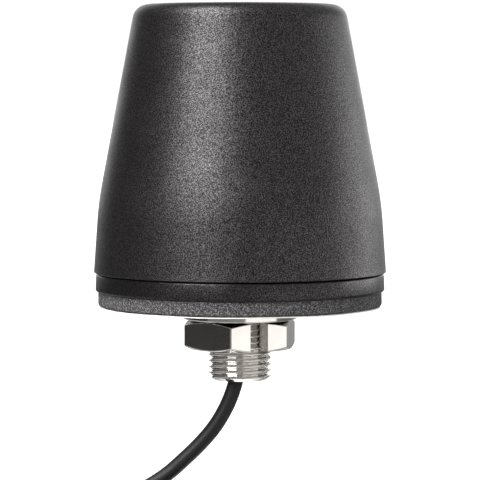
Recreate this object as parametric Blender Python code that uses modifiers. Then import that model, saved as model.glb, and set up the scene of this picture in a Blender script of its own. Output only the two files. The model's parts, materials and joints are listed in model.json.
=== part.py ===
"""Through-hole GNSS receiver, held in a panel by a hollow threaded stud.

A tall conical radome sits on a base housing with a foam pad under it. The stud goes down
through the panel, a washer and a slotted nut clamp it, and the data cable leaves through
the stud. The receiver board and a stacked patch antenna stand inside the radome.

Frame: origin on the stud axis at the underside of the foam pad, which is the mounting
plane. +Z is up and -Y is the front. Lengths are in millimetres, and MM makes them metres.
"""
import math

import bmesh
import bpy
from mathutils import Matrix, Vector

MM = 0.001
GAP = 0.3                    # between pieces that touch

# Radome and base housing
RADOME_RADIUS = 36.75
SKIRT_DEG = 4.0              # draft of the wall's lower part, from upright
CONE_DEG = 10.6              # the same of the cone above it
WAIST_Z = 26.0               # height at which the two would meet
WAIST_ROUND = 87.0           # radius of the arc that blends them
TOP_CORNER = 4.0
TOP_HEIGHT = 75.4
TOP_DOME = 0.3
WALL = 2.6
LIP_Z = 8.3
LIP_INNER = 34.15
BASE_RADIUS = 36.2
BASE_BOTTOM = 3.6
BASE_TOP = 8.0
FLOOR_TOP = 6.6
SPIGOT_OUTER = 33.75
SPIGOT_INNER = 31.7
SPIGOT_TOP = 14.0
GROOVE_Z = (9.6, 11.6)       # the seal's groove in the spigot
GROOVE_DEPTH = 1.4
BOSS_CIRCLE = 27.6
BOSS_RADIUS = 2.9
BOSS_TOP = 24.0
POST_CIRCLE = 20.5
POST_RADIUS = 3.0
SCREW_HOLE = 1.75
HEAD_SEAT_Z = 5.6            # where the housing screws' heads bear
PAD_RADIUS = 35.7
PAD_BORE = 15.0
PAD_TOP = 3.3
LINER_Z = (-0.45, -0.15)

# Stud, washer and nut: an M16 x 1.5 right-hand thread
PITCH = 1.5
THREAD_STEPS = 16            # flats to a turn
CREST = 7.95
ROOT = 7.08
CREST_HALF = 0.094           # half the width of the thread's crest
FLANK = math.tan(math.radians(30.0))
THREAD_GAP = 0.2             # along the axis, between the two threads
THREAD_PHASE_Z = -1.2        # height of a crest on the +X side
STUD_BORE = 4.5
STUD_NECK = 8.0
STUD_END = -18.85
THREAD_TOP = 1.0
FLANGE_FLATS = 24.0
POCKET_WALL = 17.0           # radius of the wall around the flange's pocket
FLANGE_Z = (7.9, 10.9)
WASHER_RADIUS = 14.25
WASHER_BORE = 8.5
WASHER_Z = (-3.5, -1.1)
NUT_FLATS = 26.0
NUT_Z = (-10.9, -3.78)
NUT_CHAMFER = math.tan(math.radians(26.0))
NUT_SLOT = 4.7
NUT_SLOT_DEG = -68.5         # direction of the slot, from +X

# Screws: radius and height of the head, radius and length of the shank
HOUSING_SCREW = (2.7, 1.4, 1.4, 9.0)
ANTENNA_SCREW = (2.0, 1.4, 1.0, 6.0)
SCREW_SIDES = 12

# Boards and antenna, by height
CLAMP_Z = (11.2, 12.7)
CLAMP_RADIUS = 24.0
STANDOFF_Z = (13.0, 25.0)
BOARD_Z = (25.3, 26.9)
BOARD_RADIUS = 23.5
SPACER_Z = (27.2, 58.0)
ANTENNA_Z = (58.3, 59.9)
LOWER_PATCH = (30.0, 60.2, 65.2)     # side, bottom, top
UPPER_PATCH = (22.0, 66.1, 70.1)

# Cable, its coil and its plug
CABLE_RADIUS = 1.9
JACKET_TOP = 11.2
COIL_CENTRE = (-18.5, -28.5)
COIL_RADII = (16.38, 29.3)
COIL_Z = (-61.8, -46.6)
TIE_DEG = 215.0
PLUG_START = (13.3, -10.7, -57.95)
PLUG_DIRECTION = (0.208, 0.978, 0.0)

CABLE_ROUTE = [
    (0.0, 0.0, JACKET_TOP),
    (0.0, 0.0, 2.0),
    (0.0, 0.0, -7.0),
    (-0.25, 0.0, -13.5),
    (-1.0, 0.0, -19.0),
    (-2.2, 0.0, -23.0),
    (-4.0, 0.0, -27.0),
    (-6.6, 0.0, -31.2),
    (-10.0, 0.0, -35.2),
    (-14.2, 0.0, -39.3),
    (-18.7, -0.1, -43.2),
]
TAIL_ROUTE = [
    (11.6, -18.8, -59.0),
    (12.4, -15.0, -58.2),
    (13.24, -11.0, -57.95),
]

for leftover in list(bpy.data.objects):
    bpy.data.objects.remove(leftover, do_unlink=True)

PARTS = bpy.data.collections.new("gnss_receiver")
CUTTERS = bpy.data.collections.new("cutters")
bpy.context.scene.collection.children.link(PARTS)
bpy.context.scene.collection.children.link(CUTTERS)


# Materials -----------------------------------------------------------------------------

def material(name, colour, roughness, metallic=0.0):
    made = bpy.data.materials.new(name)
    made.use_nodes = True
    shader = made.node_tree.nodes["Principled BSDF"]
    shader.inputs["Base Color"].default_value = (*colour, 1.0)
    shader.inputs["Roughness"].default_value = roughness
    shader.inputs["Metallic"].default_value = metallic
    made.diffuse_color = (*colour, 1.0)
    return made


RADOME_BLACK = material("radome_black", (0.018, 0.018, 0.019), 0.55)
BASE_BLACK = material("base_black", (0.012, 0.012, 0.013), 0.4)
FOAM_GREY = material("foam_grey", (0.11, 0.105, 0.11), 0.95)
LINER_WHITE = material("liner_white", (0.85, 0.85, 0.83), 0.6)
NICKEL = material("nickel_plate", (0.68, 0.65, 0.6), 0.2, 1.0)
BRASS = material("brass", (0.62, 0.45, 0.2), 0.3, 1.0)
GOLD = material("gold_plate", (0.85, 0.6, 0.25), 0.25, 1.0)
STEEL = material("zinc_steel", (0.55, 0.56, 0.58), 0.3, 1.0)
TIN = material("tinned_sheet", (0.6, 0.61, 0.62), 0.3, 1.0)
ALUMINIUM = material("aluminium", (0.7, 0.7, 0.72), 0.35, 1.0)
RUBBER = material("black_rubber", (0.015, 0.015, 0.015), 0.7)
JACKET = material("cable_jacket", (0.014, 0.014, 0.015), 0.4)
OVERMOULD = material("plug_overmould", (0.016, 0.016, 0.017), 0.5)
BOARD_GREEN = material("board_green", (0.02, 0.12, 0.05), 0.4)
CHIP_BLACK = material("chip_black", (0.02, 0.02, 0.02), 0.5)
CERAMIC = material("ceramic", (0.72, 0.62, 0.46), 0.6)
SILVER = material("silver_paint", (0.75, 0.73, 0.68), 0.35, 1.0)
NYLON = material("white_nylon", (0.8, 0.79, 0.74), 0.45)
STRAP = material("strap_black", (0.02, 0.02, 0.02), 0.9)
WIRE_COLOURS = [
    material("wire_red", (0.5, 0.02, 0.02), 0.4),
    material("wire_black", (0.02, 0.02, 0.02), 0.4),
    material("wire_yellow", (0.6, 0.45, 0.03), 0.4),
    material("wire_green", (0.03, 0.3, 0.06), 0.4),
]


# Building blocks -----------------------------------------------------------------------

def add_part(name, mesh, look):
    part = bpy.data.objects.new(name, mesh)
    PARTS.objects.link(part)
    mesh.materials.append(look)
    return part


def add_tool(name, mesh):
    """A cutter or a piece to be joined on: guides that the finished model leaves out."""
    tool = bpy.data.objects.new(name, mesh)
    CUTTERS.objects.link(tool)
    tool.hide_render = True
    tool.display_type = "WIRE"
    return tool


def mesh_from(name, bm):
    mesh = bpy.data.meshes.new(name)
    bm.to_mesh(mesh)
    bm.free()
    return mesh


def box_mesh(name, low, high):
    bm = bmesh.new()
    size = Vector(high) - Vector(low)
    middle = (Vector(high) + Vector(low)) / 2
    place = Matrix.Translation(middle * MM) @ Matrix.Diagonal((*(size * MM), 1.0))
    bmesh.ops.create_cube(bm, size=1.0, matrix=place)
    return mesh_from(name, bm)


def rod_mesh(name, radius, z_low, z_high, at=(0.0, 0.0), sides=24):
    bm = bmesh.new()
    place = Matrix.Translation(Vector((at[0], at[1], (z_low + z_high) / 2)) * MM)
    bmesh.ops.create_cone(
        bm,
        cap_ends=True,
        segments=sides,
        radius1=radius * MM,
        radius2=radius * MM,
        depth=(z_high - z_low) * MM,
        matrix=place,
    )
    return mesh_from(name, bm)


def outline_mesh(name, outline, closed):
    mesh = bpy.data.meshes.new(name)
    points = [(r * MM, 0.0, z * MM) for r, z in outline]
    edges = [(i, i + 1) for i in range(len(points) - 1)]
    if closed:
        edges.append((len(points) - 1, 0))
    mesh.from_pydata(points, edges, [])
    return mesh


def turn(turned, steps):
    """Revolve the object's outline about its Z axis."""
    screw = turned.modifiers.new("turn", "SCREW")
    screw.axis = "Z"
    screw.angle = 2 * math.pi
    screw.steps = steps
    screw.render_steps = steps
    screw.use_merge_vertices = True
    screw.merge_threshold = 0.00001
    screw.use_smooth_shade = True
    return turned


def turned_part(name, outline, look, steps=40, closed=True):
    return turn(add_part(name, outline_mesh(name, outline, closed), look), steps)


def turned_tool(name, outline, steps=48, closed=False):
    return turn(add_tool(name, outline_mesh(name, outline, closed)), steps)


def tube_outline(inner, outer, z_low, z_high):
    return [(outer, z_high), (outer, z_low), (inner, z_low), (inner, z_high)]


def combine(part, tool, operation):
    step = part.modifiers.new(tool.name, "BOOLEAN")
    step.operation = operation
    step.object = tool
    step.solver = "EXACT"


def cut(part, tool):
    combine(part, tool, "DIFFERENCE")


def join(part, tool):
    combine(part, tool, "UNION")


def keep_inside(part, tool):
    combine(part, tool, "INTERSECT")


def round_edges(part, width, segments=1):
    bevel = part.modifiers.new("edges", "BEVEL")
    bevel.width = width * MM
    bevel.segments = segments
    bevel.limit_method = "ANGLE"
    bevel.angle_limit = math.radians(50)


def arc(centre, radius, start_deg, end_deg, count):
    """Points on an arc in the outline's plane, with angles from the outward direction."""
    points = []
    for i in range(count + 1):
        a = math.radians(start_deg + (end_deg - start_deg) * i / count)
        points.append((centre[0] + radius * math.cos(a), centre[1] + radius * math.sin(a)))
    return points


def hexagon_corner(flats):
    """Radius to the corners of a hexagon, from its width across flats."""
    return flats / 2 / math.cos(math.pi / 6)


def polar(radius, degrees):
    a = math.radians(degrees)
    return (radius * math.cos(a), radius * math.sin(a))


def smooth_path(route, spacing):
    """Evenly spaced points on a smooth curve through the route's own points."""
    points = [Vector(p) for p in route]
    ends = [2 * points[0] - points[1], *points, 2 * points[-1] - points[-2]]
    fine = []
    for a, b, c, d in zip(ends, ends[1:], ends[2:], ends[3:]):
        for i in range(24):
            t = i / 24
            fine.append(0.5 * (
                2 * b + (c - a) * t
                + (2 * a - 5 * b + 4 * c - d) * t * t
                + (3 * b - a - 3 * c + d) * t ** 3
            ))
    fine.append(points[-1])
    lengths = [0.0]
    for a, b in zip(fine, fine[1:]):
        lengths.append(lengths[-1] + (b - a).length)
    count = max(2, round(lengths[-1] / spacing))
    path = []
    place = 0
    for i in range(count + 1):
        want = lengths[-1] * i / count
        while place < len(fine) - 2 and lengths[place + 1] < want:
            place += 1
        step = max(lengths[place + 1] - lengths[place], 1e-9)
        path.append(fine[place].lerp(fine[place + 1], min(1.0, (want - lengths[place]) / step)))
    return path


def poly_curve(name, path, radius, resolution=2):
    curve = bpy.data.curves.new(name, "CURVE")
    curve.dimensions = "3D"
    spline = curve.splines.new("POLY")
    spline.points.add(len(path) - 1)
    for point, place in zip(spline.points, path):
        point.co = (*(Vector(place) * MM), 1.0)
    curve.bevel_depth = radius * MM
    curve.bevel_resolution = resolution
    curve.use_fill_caps = True
    curve.render_resolution_u = 0
    return curve


def wire_part(name, path, radius, look, resolution=2):
    return add_part(name, poly_curve(name, path, radius, resolution), look)


def thread_tool(name, crest, crest_half, foot, z_low, z_high):
    """A helical ridge with its foot sunk into the core that it is joined to or cut with."""
    foot_half = crest_half + FLANK * (crest - foot)
    section = bpy.data.curves.new(name + "_section", "CURVE")
    section.dimensions = "2D"
    outline = section.splines.new("POLY")
    outline.points.add(3)
    middle = (crest + foot) / 2
    corners = [
        (foot - middle, -foot_half),
        (crest - middle, -crest_half),
        (crest - middle, crest_half),
        (foot - middle, foot_half),
    ]
    for point, (out, up) in zip(outline.points, corners):
        point.co = (out * MM, up * MM, 0.0, 1.0)
    outline.use_cyclic_u = True
    section_object = add_tool(name + "_section", section)

    first = math.floor((z_low - THREAD_PHASE_Z) / PITCH * THREAD_STEPS)
    last = math.ceil((z_high - THREAD_PHASE_Z) / PITCH * THREAD_STEPS)
    path = []
    for step in range(first, last + 1):
        x, y = polar(middle, 360.0 * step / THREAD_STEPS)
        path.append((x, y, THREAD_PHASE_Z + PITCH * step / THREAD_STEPS))
    helix = poly_curve(name, path, 0.0)
    helix.bevel_mode = "OBJECT"
    helix.bevel_object = section_object
    helix.twist_mode = "Z_UP"
    curve_object = add_tool(name + "_helix", helix)
    bpy.context.view_layer.update()
    depsgraph = bpy.context.evaluated_depsgraph_get()
    mesh = bpy.data.meshes.new_from_object(curve_object.evaluated_get(depsgraph))
    bpy.data.objects.remove(curve_object)
    bpy.data.objects.remove(section_object)
    bm = bmesh.new()
    bm.from_mesh(mesh)
    bmesh.ops.remove_doubles(bm, verts=bm.verts, dist=1e-7)
    bmesh.ops.recalc_face_normals(bm, faces=bm.faces)
    bm.to_mesh(mesh)
    bm.free()
    return add_tool(name, mesh)


# Radome, base housing and seals --------------------------------------------------------

def skirt_radius(z):
    return RADOME_RADIUS - (z - LIP_Z) * math.tan(math.radians(SKIRT_DEG))


def wall_profile(inset, count):
    """The rounded waist and the rounded top edge, inset from the outside of the wall."""
    cone = math.radians(CONE_DEG)
    middle = math.radians((CONE_DEG + SKIRT_DEG) / 2)
    reach = WAIST_ROUND / math.cos(cone - middle)
    waist = (
        skirt_radius(WAIST_Z) - reach * math.cos(middle),
        WAIST_Z - reach * math.sin(middle),
    )
    corner_z = TOP_HEIGHT - TOP_CORNER
    cone_radius = skirt_radius(WAIST_Z) - (corner_z - WAIST_Z) * math.tan(cone)
    corner = (cone_radius - TOP_CORNER / math.cos(cone), corner_z)
    return (
        arc(waist, WAIST_ROUND - inset, SKIRT_DEG, CONE_DEG, 4),
        arc(corner, TOP_CORNER - inset, CONE_DEG, 90, count),
    )


def build_radome():
    waist, corner = wall_profile(0.0, 5)
    inner_waist, inner_corner = wall_profile(WALL, 3)
    dome = []
    for r in (0.0, 8.0, 16.0):
        dome.append((r, TOP_HEIGHT + TOP_DOME * (1 - (r / corner[-1][0]) ** 2)))
    full_wall_z = SPIGOT_TOP + 2.0
    outline = [
        *dome,
        *corner[::-1],
        *waist[::-1],
        (skirt_radius(LIP_Z + 0.6), LIP_Z + 0.6),
        (RADOME_RADIUS - 0.6, LIP_Z),
        (LIP_INNER, LIP_Z),
        (LIP_INNER, SPIGOT_TOP),
        (skirt_radius(full_wall_z) - WALL, full_wall_z),
        *inner_waist,
        *inner_corner,
        (0.0, TOP_HEIGHT - WALL),
    ]
    radome = turned_part("radome_cap", outline, RADOME_BLACK, closed=False)
    boss_low = FLOOR_TOP + GAP
    for number in range(4):
        degrees = 45 + 90 * number
        at = polar(BOSS_CIRCLE, degrees)
        boss = add_tool(f"boss_{number}", rod_mesh("boss", BOSS_RADIUS, boss_low, BOSS_TOP, at, 16))
        # A rib ties each boss to the wall, above the spigot.
        rib_low = (BOSS_CIRCLE, -1.2, SPIGOT_TOP + 1.0)
        rib_high = (LIP_INNER + 0.25, 1.2, BOSS_TOP - 1.0)
        rib = add_tool(f"rib_{number}", box_mesh("rib", rib_low, rib_high))
        rib.rotation_euler[2] = math.radians(degrees)
        pilot = add_tool(f"pilot_{number}", rod_mesh("pilot", SCREW_HOLE, boss_low - 1, 18.0, at, 10))
        join(radome, boss)
        join(radome, rib)
        cut(radome, pilot)


def build_base():
    groove_floor = SPIGOT_OUTER - GROOVE_DEPTH
    outline = [
        (BASE_RADIUS - 0.4, BASE_TOP),
        (BASE_RADIUS, BASE_TOP - 0.4),
        (BASE_RADIUS + 0.15, BASE_BOTTOM + 0.6),
        (BASE_RADIUS - 0.45, BASE_BOTTOM),
        (STUD_NECK + GAP, BASE_BOTTOM),
        (STUD_NECK + GAP, FLOOR_TOP),
        (SPIGOT_INNER, FLOOR_TOP),
        (SPIGOT_INNER, SPIGOT_TOP),
        (SPIGOT_OUTER, SPIGOT_TOP),
        (SPIGOT_OUTER, GROOVE_Z[1]),
        (groove_floor, GROOVE_Z[1]),
        (groove_floor, GROOVE_Z[0]),
        (SPIGOT_OUTER, GROOVE_Z[0]),
        (SPIGOT_OUTER, BASE_TOP),
    ]
    base = turned_part("base_housing", outline, BASE_BLACK)
    # A hexagonal pocket keeps the stud's flange from turning.
    wall = tube_outline(FLANGE_FLATS / 2 - 1, POCKET_WALL, FLOOR_TOP - 0.8, FLANGE_Z[1] - 0.5)
    join(base, turned_tool("pocket_wall", wall, 24, closed=True))
    pocket_radius = hexagon_corner(FLANGE_FLATS + 2 * GAP)
    cut(base, add_tool("pocket", rod_mesh("pocket", pocket_radius, FLOOR_TOP, 11.0, sides=6)))
    for number in range(3):
        at = polar(POST_CIRCLE, 90 + 120 * number)
        top = CLAMP_Z[0] - GAP
        post = add_tool(f"post_{number}", rod_mesh("post", POST_RADIUS, FLOOR_TOP - 1, top, at, 16))
        hole = add_tool(f"post_hole_{number}", rod_mesh("hole", 1.5, 7.2, top + 1, at, 10))
        join(base, post)
        cut(base, hole)
    for number in range(4):
        at = polar(BOSS_CIRCLE, 45 + 90 * number)
        through = add_tool(f"through_{number}", rod_mesh("through", SCREW_HOLE, 3.0, 7.0, at, 10))
        sink_radius = HOUSING_SCREW[0] + 0.4
        sink = add_tool(f"sink_{number}", rod_mesh("sink", sink_radius, 3.0, HEAD_SEAT_Z, at, 14))
        cut(base, through)
        cut(base, sink)


def build_seals():
    middle = (SPIGOT_OUTER - GROOVE_DEPTH + LIP_INNER) / 2
    ring_z = sum(GROOVE_Z) / 2
    turned_part("radome_seal", arc((middle, ring_z), 0.6, 90, -210, 5), RUBBER)
    seal = tube_outline(STUD_NECK + GAP, 11.6, FLOOR_TOP + GAP, FLANGE_Z[0] - GAP)
    turned_part("stud_seal", seal, RUBBER, 32)


def build_foam_pad():
    outline = [
        (PAD_RADIUS, PAD_TOP),
        *arc((PAD_RADIUS - 0.8, 0.8), 0.8, 0, -90, 3),
        (PAD_BORE, 0.0),
        (PAD_BORE, PAD_TOP),
    ]
    turned_part("foam_pad", outline, FOAM_GREY)
    turned_part("pad_liner", tube_outline(PAD_BORE, PAD_RADIUS - 0.3, *LINER_Z), LINER_WHITE)


def screw_mesh(name, sizes):
    """A cap screw along +Z, with the underside of its head at the origin."""
    head, head_height, shank, length = sizes
    outline = [
        (0.0, length),
        (shank, length),
        (shank, 0.0),
        (head, 0.0),
        (head, -head_height + 0.3),
        (head - 0.3, -head_height),
        (0.0, -head_height),
    ]
    return outline_mesh(name, outline, False)


def build_housing_screws():
    mesh = screw_mesh("housing_screw", HOUSING_SCREW)
    mesh.materials.append(STEEL)
    for number in range(4):
        screw = bpy.data.objects.new(f"housing_screw_{number + 1}", mesh)
        PARTS.objects.link(screw)
        at = polar(BOSS_CIRCLE, 45 + 90 * number)
        screw.location = Vector((*at, HEAD_SEAT_Z - GAP)) * MM
        turn(screw, SCREW_SIDES)


# Stud, washer and nut ------------------------------------------------------------------

def build_stud():
    outline = [
        (0.0, FLANGE_Z[0] + 0.5),
        (STUD_NECK, FLANGE_Z[0] + 0.5),
        (STUD_NECK, THREAD_TOP),
        (ROOT, THREAD_TOP - 0.5),
        (ROOT, STUD_END - 1.0),
        (0.0, STUD_END - 1.0),
    ]
    stud = turned_part("mounting_stud", outline, NICKEL, THREAD_STEPS, closed=False)
    foot = ROOT - 0.23
    join(stud, thread_tool("stud_thread", CREST, CREST_HALF, foot, STUD_END - 1.2, THREAD_TOP + 0.6))
    join(stud, add_tool("flange", rod_mesh("flange", hexagon_corner(FLANGE_FLATS), *FLANGE_Z, sides=6)))
    envelope = [
        (0.0, 12.0),
        (16.0, 12.0),
        (16.0, 5.0),
        (8.6, 4.0),
        (8.6, STUD_END + 1.4),
        (6.95, STUD_END),
        (0.0, STUD_END),
    ]
    keep_inside(stud, turned_tool("stud_envelope", envelope, 40))
    cut(stud, add_tool("stud_bore", rod_mesh("stud_bore", STUD_BORE, -25.0, 15.0)))
    cut(stud, add_tool("ferrule_seat", rod_mesh("ferrule_seat", 5.9, 8.8, 15.0)))


def build_washer():
    low, high = WASHER_Z
    outline = [
        (WASHER_RADIUS - 0.3, high),
        (WASHER_RADIUS, high - 0.3),
        (WASHER_RADIUS, low + 0.3),
        (WASHER_RADIUS - 0.3, low),
        (WASHER_BORE, low),
        (WASHER_BORE, high),
    ]
    turned_part("flat_washer", outline, NICKEL)


def build_nut():
    low, high = NUT_Z
    flat_radius = NUT_FLATS / 2
    corner_radius = hexagon_corner(NUT_FLATS)
    body = rod_mesh("slotted_nut", corner_radius, low, high, sides=6)
    body.transform(Matrix.Rotation(math.radians(NUT_SLOT_DEG), 4, "Z"))
    nut = add_part("slotted_nut", body, NICKEL)
    reach = corner_radius + 0.6
    drop = (reach - flat_radius + 0.1) * NUT_CHAMFER
    envelope = [
        (0.0, high),
        (flat_radius - 0.1, high),
        (reach, high - drop),
        (reach, low + drop),
        (flat_radius - 0.1, low),
        (0.0, low),
    ]
    keep_inside(nut, turned_tool("nut_envelope", envelope, 48))
    # The nut's thread clears the stud's by THREAD_GAP along the axis on each flank.
    bore = ROOT + 0.27
    crest = CREST + 0.25
    crest_half = CREST_HALF + THREAD_GAP - FLANK * (crest - CREST)
    core = [
        (0.0, high + 1.0),
        (crest + 0.8, high + 1.0),
        (crest + 0.3, high + 0.2),
        (bore, high - 0.6),
        (bore, low + 0.6),
        (crest + 0.3, low - 0.2),
        (crest + 0.8, low - 1.0),
        (0.0, low - 1.0),
    ]
    cut(nut, turned_tool("nut_bore", core, THREAD_STEPS))
    cut(nut, thread_tool("nut_thread", crest, crest_half, bore - 0.15, low - 2.0, high + 2.0))
    half = NUT_SLOT / 2
    slot = add_tool("nut_slot", box_mesh("nut_slot", (0.0, -half, low - 2), (20.0, half, high + 2)))
    slot.rotation_euler[2] = math.radians(NUT_SLOT_DEG)
    cut(nut, slot)


# Boards and antenna --------------------------------------------------------------------

def build_clamp_and_standoffs():
    clamp = turned_part("clamp_plate", tube_outline(6.5, CLAMP_RADIUS, *CLAMP_Z), ALUMINIUM, 32)
    for number in range(3):
        at = polar(POST_CIRCLE, 90 + 120 * number)
        hole = add_tool(f"clamp_hole_{number}", rod_mesh("hole", 1.5, 10.0, 14.0, at, 10))
        cut(clamp, hole)
        low, high = STANDOFF_Z
        body = rod_mesh("standoff", 2.6, low, high, at, 6)
        standoff = add_part(f"board_standoff_{number + 1}", body, BRASS)
        join(standoff, add_tool(f"stud_{number}", rod_mesh("stud", 1.15, 8.2, low + 0.5, at, 10)))
        cut(standoff, add_tool(f"tap_{number}", rod_mesh("tap", 1.35, 21.5, high + 1, at, 10)))


def build_receiver_board():
    board = add_part("receiver_board", rod_mesh("board", BOARD_RADIUS, *BOARD_Z, sides=32), BOARD_GREEN)
    for number in range(3):
        at = polar(POST_CIRCLE, 90 + 120 * number)
        cut(board, add_tool(f"board_hole_{number}", rod_mesh("hole", 1.35, 24.0, 28.0, at, 10)))
    top = BOARD_Z[1] + GAP
    under = BOARD_Z[0] - GAP
    shield = add_part("module_shield", box_mesh("shield", (-13, -12, top), (7, 4, top + 2.6)), TIN)
    hollow = add_tool("shield_hollow", box_mesh("hollow", (-12.5, -11.5, top - 1), (6.5, 3.5, top + 2.1)))
    cut(shield, hollow)
    blocks = [
        ("clock_oscillator", (-14.5, 10.4, top), (-9.5, 13.6, top + 1.3), CHIP_BLACK),
        ("supply_inductor", (8.6, -6.5, top), (14.2, -0.9, top + 3.2), CHIP_BLACK),
        ("board_header", (2.0, -2.2, under - 4.4), (11.0, 2.2, under), NYLON),
        ("board_plug", (2.4, -1.8, under - 7.8), (10.6, 1.8, under - 4.7), NYLON),
    ]
    for name, low, high, look in blocks:
        round_edges(add_part(name, box_mesh(name, low, high), look), 0.25)
    add_part("supply_capacitor", rod_mesh("can", 2.4, top, top + 5.4, (12.4, 2.8), 16), ALUMINIUM)


def build_antenna():
    board = add_part("antenna_board", rod_mesh("board", BOARD_RADIUS, *ANTENNA_Z, sides=32), BOARD_GREEN)
    under = ANTENNA_Z[0] - GAP
    for number in range(3):
        at = polar(POST_CIRCLE, 90 + 120 * number)
        low, high = SPACER_Z
        spacer = add_part(f"antenna_spacer_{number + 1}", rod_mesh("spacer", 2.6, low, high, at, 6), BRASS)
        pin = rod_mesh("pin", 1.0, 22.5, low + 0.5, at, 10)
        join(spacer, add_tool(f"spacer_pin_{number}", pin))
        tap = rod_mesh("tap", 1.35, 53.0, high + 1, at, 10)
        cut(spacer, add_tool(f"spacer_tap_{number}", tap))
        hole = rod_mesh("hole", 1.35, 57.0, 61.0, at, 10)
        cut(board, add_tool(f"antenna_hole_{number}", hole))
        mesh = screw_mesh("antenna_screw", ANTENNA_SCREW)
        screw = add_part(f"antenna_screw_{number + 1}", mesh, STEEL)
        screw.location = Vector((*at, ANTENNA_Z[1] + GAP)) * MM
        screw.rotation_euler[0] = math.pi
        turn(screw, SCREW_SIDES)

    shield = add_part("amplifier_shield", box_mesh("can", (-7, -14, under - 2.8), (7, -2, under)), TIN)
    hollow = box_mesh("hollow", (-6.5, -13.5, under - 2.3), (6.5, -2.5, under + 1))
    cut(shield, add_tool("amplifier_hollow", hollow))

    patches = []
    for name, (side, low, high) in (("lower", LOWER_PATCH), ("upper", UPPER_PATCH)):
        half = side / 2
        patch = add_part(f"{name}_patch", box_mesh(name, (-half, -half, low), (half, half, high)), CERAMIC)
        skin = half - 1.6
        sheet = box_mesh(name, (-skin, -skin, high + GAP), (skin, skin, high + GAP + 0.3))
        electrode = add_part(f"{name}_electrode", sheet, SILVER)
        patches += [patch, electrode]
    for number, x in enumerate((3.2, -3.2)):
        top = UPPER_PATCH[2] + 0.9
        add_part(f"feed_pin_{number + 1}", rod_mesh("pin", 0.45, 57.4, top, (x, 0.0), 8), BRASS)
        hole = add_tool(f"feed_hole_{number}", rod_mesh("hole", 0.8, 56.0, 74.0, (x, 0.0), 8))
        cut(board, hole)
        for piece in patches:
            cut(piece, hole)


def build_inner_leads():
    for number, look in enumerate(WIRE_COLOURS):
        side = -1 if number < 2 else 1
        front = -1 if number % 2 else 1
        start = (0.7 * side, 0.7 * front, JACKET_TOP + GAP)
        end = (3.6 + 1.9 * number, 0.0, BOARD_Z[0] - GAP - 7.8 - GAP)
        middle = (start[0] * 0.6 + end[0] * 0.4, start[1], 13.6)
        route = [start, (start[0], start[1], 12.0), middle, (end[0], end[1], end[2] - 1.2), end]
        wire_part(f"lead_wire_{number + 1}", smooth_path(route, 0.9), 0.35, look, 1)

    low_z = BOARD_Z[1] + GAP
    high_z = ANTENNA_Z[0] - GAP
    ends = [("jumper_plug_1", 9.0, 9.6, low_z), ("jumper_plug_2", 6.5, 8.8, high_z - 2.0)]
    for name, x, y, low in ends:
        add_part(name, rod_mesh(name, 1.5, low, low + 2.0, (x, y), 12), GOLD)
    route = [
        (9.0, 9.6, low_z + 2.3),
        (9.2, 9.7, low_z + 8.0),
        (10.6, 10.0, 43.0),
        (7.6, 9.2, high_z - 8.0),
        (6.5, 8.8, high_z - 2.3),
    ]
    wire_part("jumper_coax", smooth_path(route, 2.6), 0.6, CHIP_BLACK)


# Cable, coil and plug ------------------------------------------------------------------

def build_cable():
    spacing = 4 * CABLE_RADIUS
    wire_part("cable", smooth_path(CABLE_ROUTE, spacing), CABLE_RADIUS, JACKET)
    wire_part("cable_tail", smooth_path(TAIL_ROUTE, 2.6), CABLE_RADIUS, JACKET)
    turned_part("cable_ferrule", tube_outline(2.25, 5.5, 9.1, 11.0), NICKEL, 24)
    turned_part("bore_bushing", tube_outline(2.25, 4.15, -9.0, -2.0), RUBBER, 24)
    inner, outer = COIL_RADII
    low, high = COIL_Z
    corner = 1.9
    outline = [
        *arc((outer - corner, high - corner), corner, 90, 0, 2),
        *arc((outer - corner, low + corner), corner, 0, -90, 2),
        *arc((inner + corner, low + corner), corner, -90, -180, 2),
        *arc((inner + corner, high - corner), corner, -180, -270, 2),
    ]
    coil = turned_part("cable_coil", outline, JACKET, 32)
    coil.location = Vector((*COIL_CENTRE, 0.0)) * MM


def build_coil_tie():
    """A strap around the coil's section, made as a flat outline with a hole."""
    inner, outer = COIL_RADII
    low, high = COIL_Z
    strap = bpy.data.curves.new("coil_tie", "CURVE")
    strap.dimensions = "2D"
    strap.fill_mode = "BOTH"
    strap.extrude = 3.0 * MM
    strap.render_resolution_u = 0
    for margin in (0.45, 1.15):
        left = inner - margin
        right = outer + margin
        bottom = low - margin + 0.1
        top = high + margin - 0.1
        loop = strap.splines.new("POLY")
        corner = 1.5
        corners = [
            (left + corner, bottom), (right - corner, bottom), (right, bottom + corner),
            (right, top - corner), (right - corner, top), (left + corner, top),
            (left, top - corner), (left, bottom + corner),
        ]
        loop.points.add(len(corners) - 1)
        for point, (r, z) in zip(loop.points, corners):
            point.co = (r * MM, z * MM, 0.0, 1.0)
        loop.use_cyclic_u = True
    tie = add_part("coil_tie", strap, STRAP)
    tie.location = Vector((*COIL_CENTRE, 0.0)) * MM
    tie.rotation_euler = (math.pi / 2, 0.0, math.radians(TIE_DEG))


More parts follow.
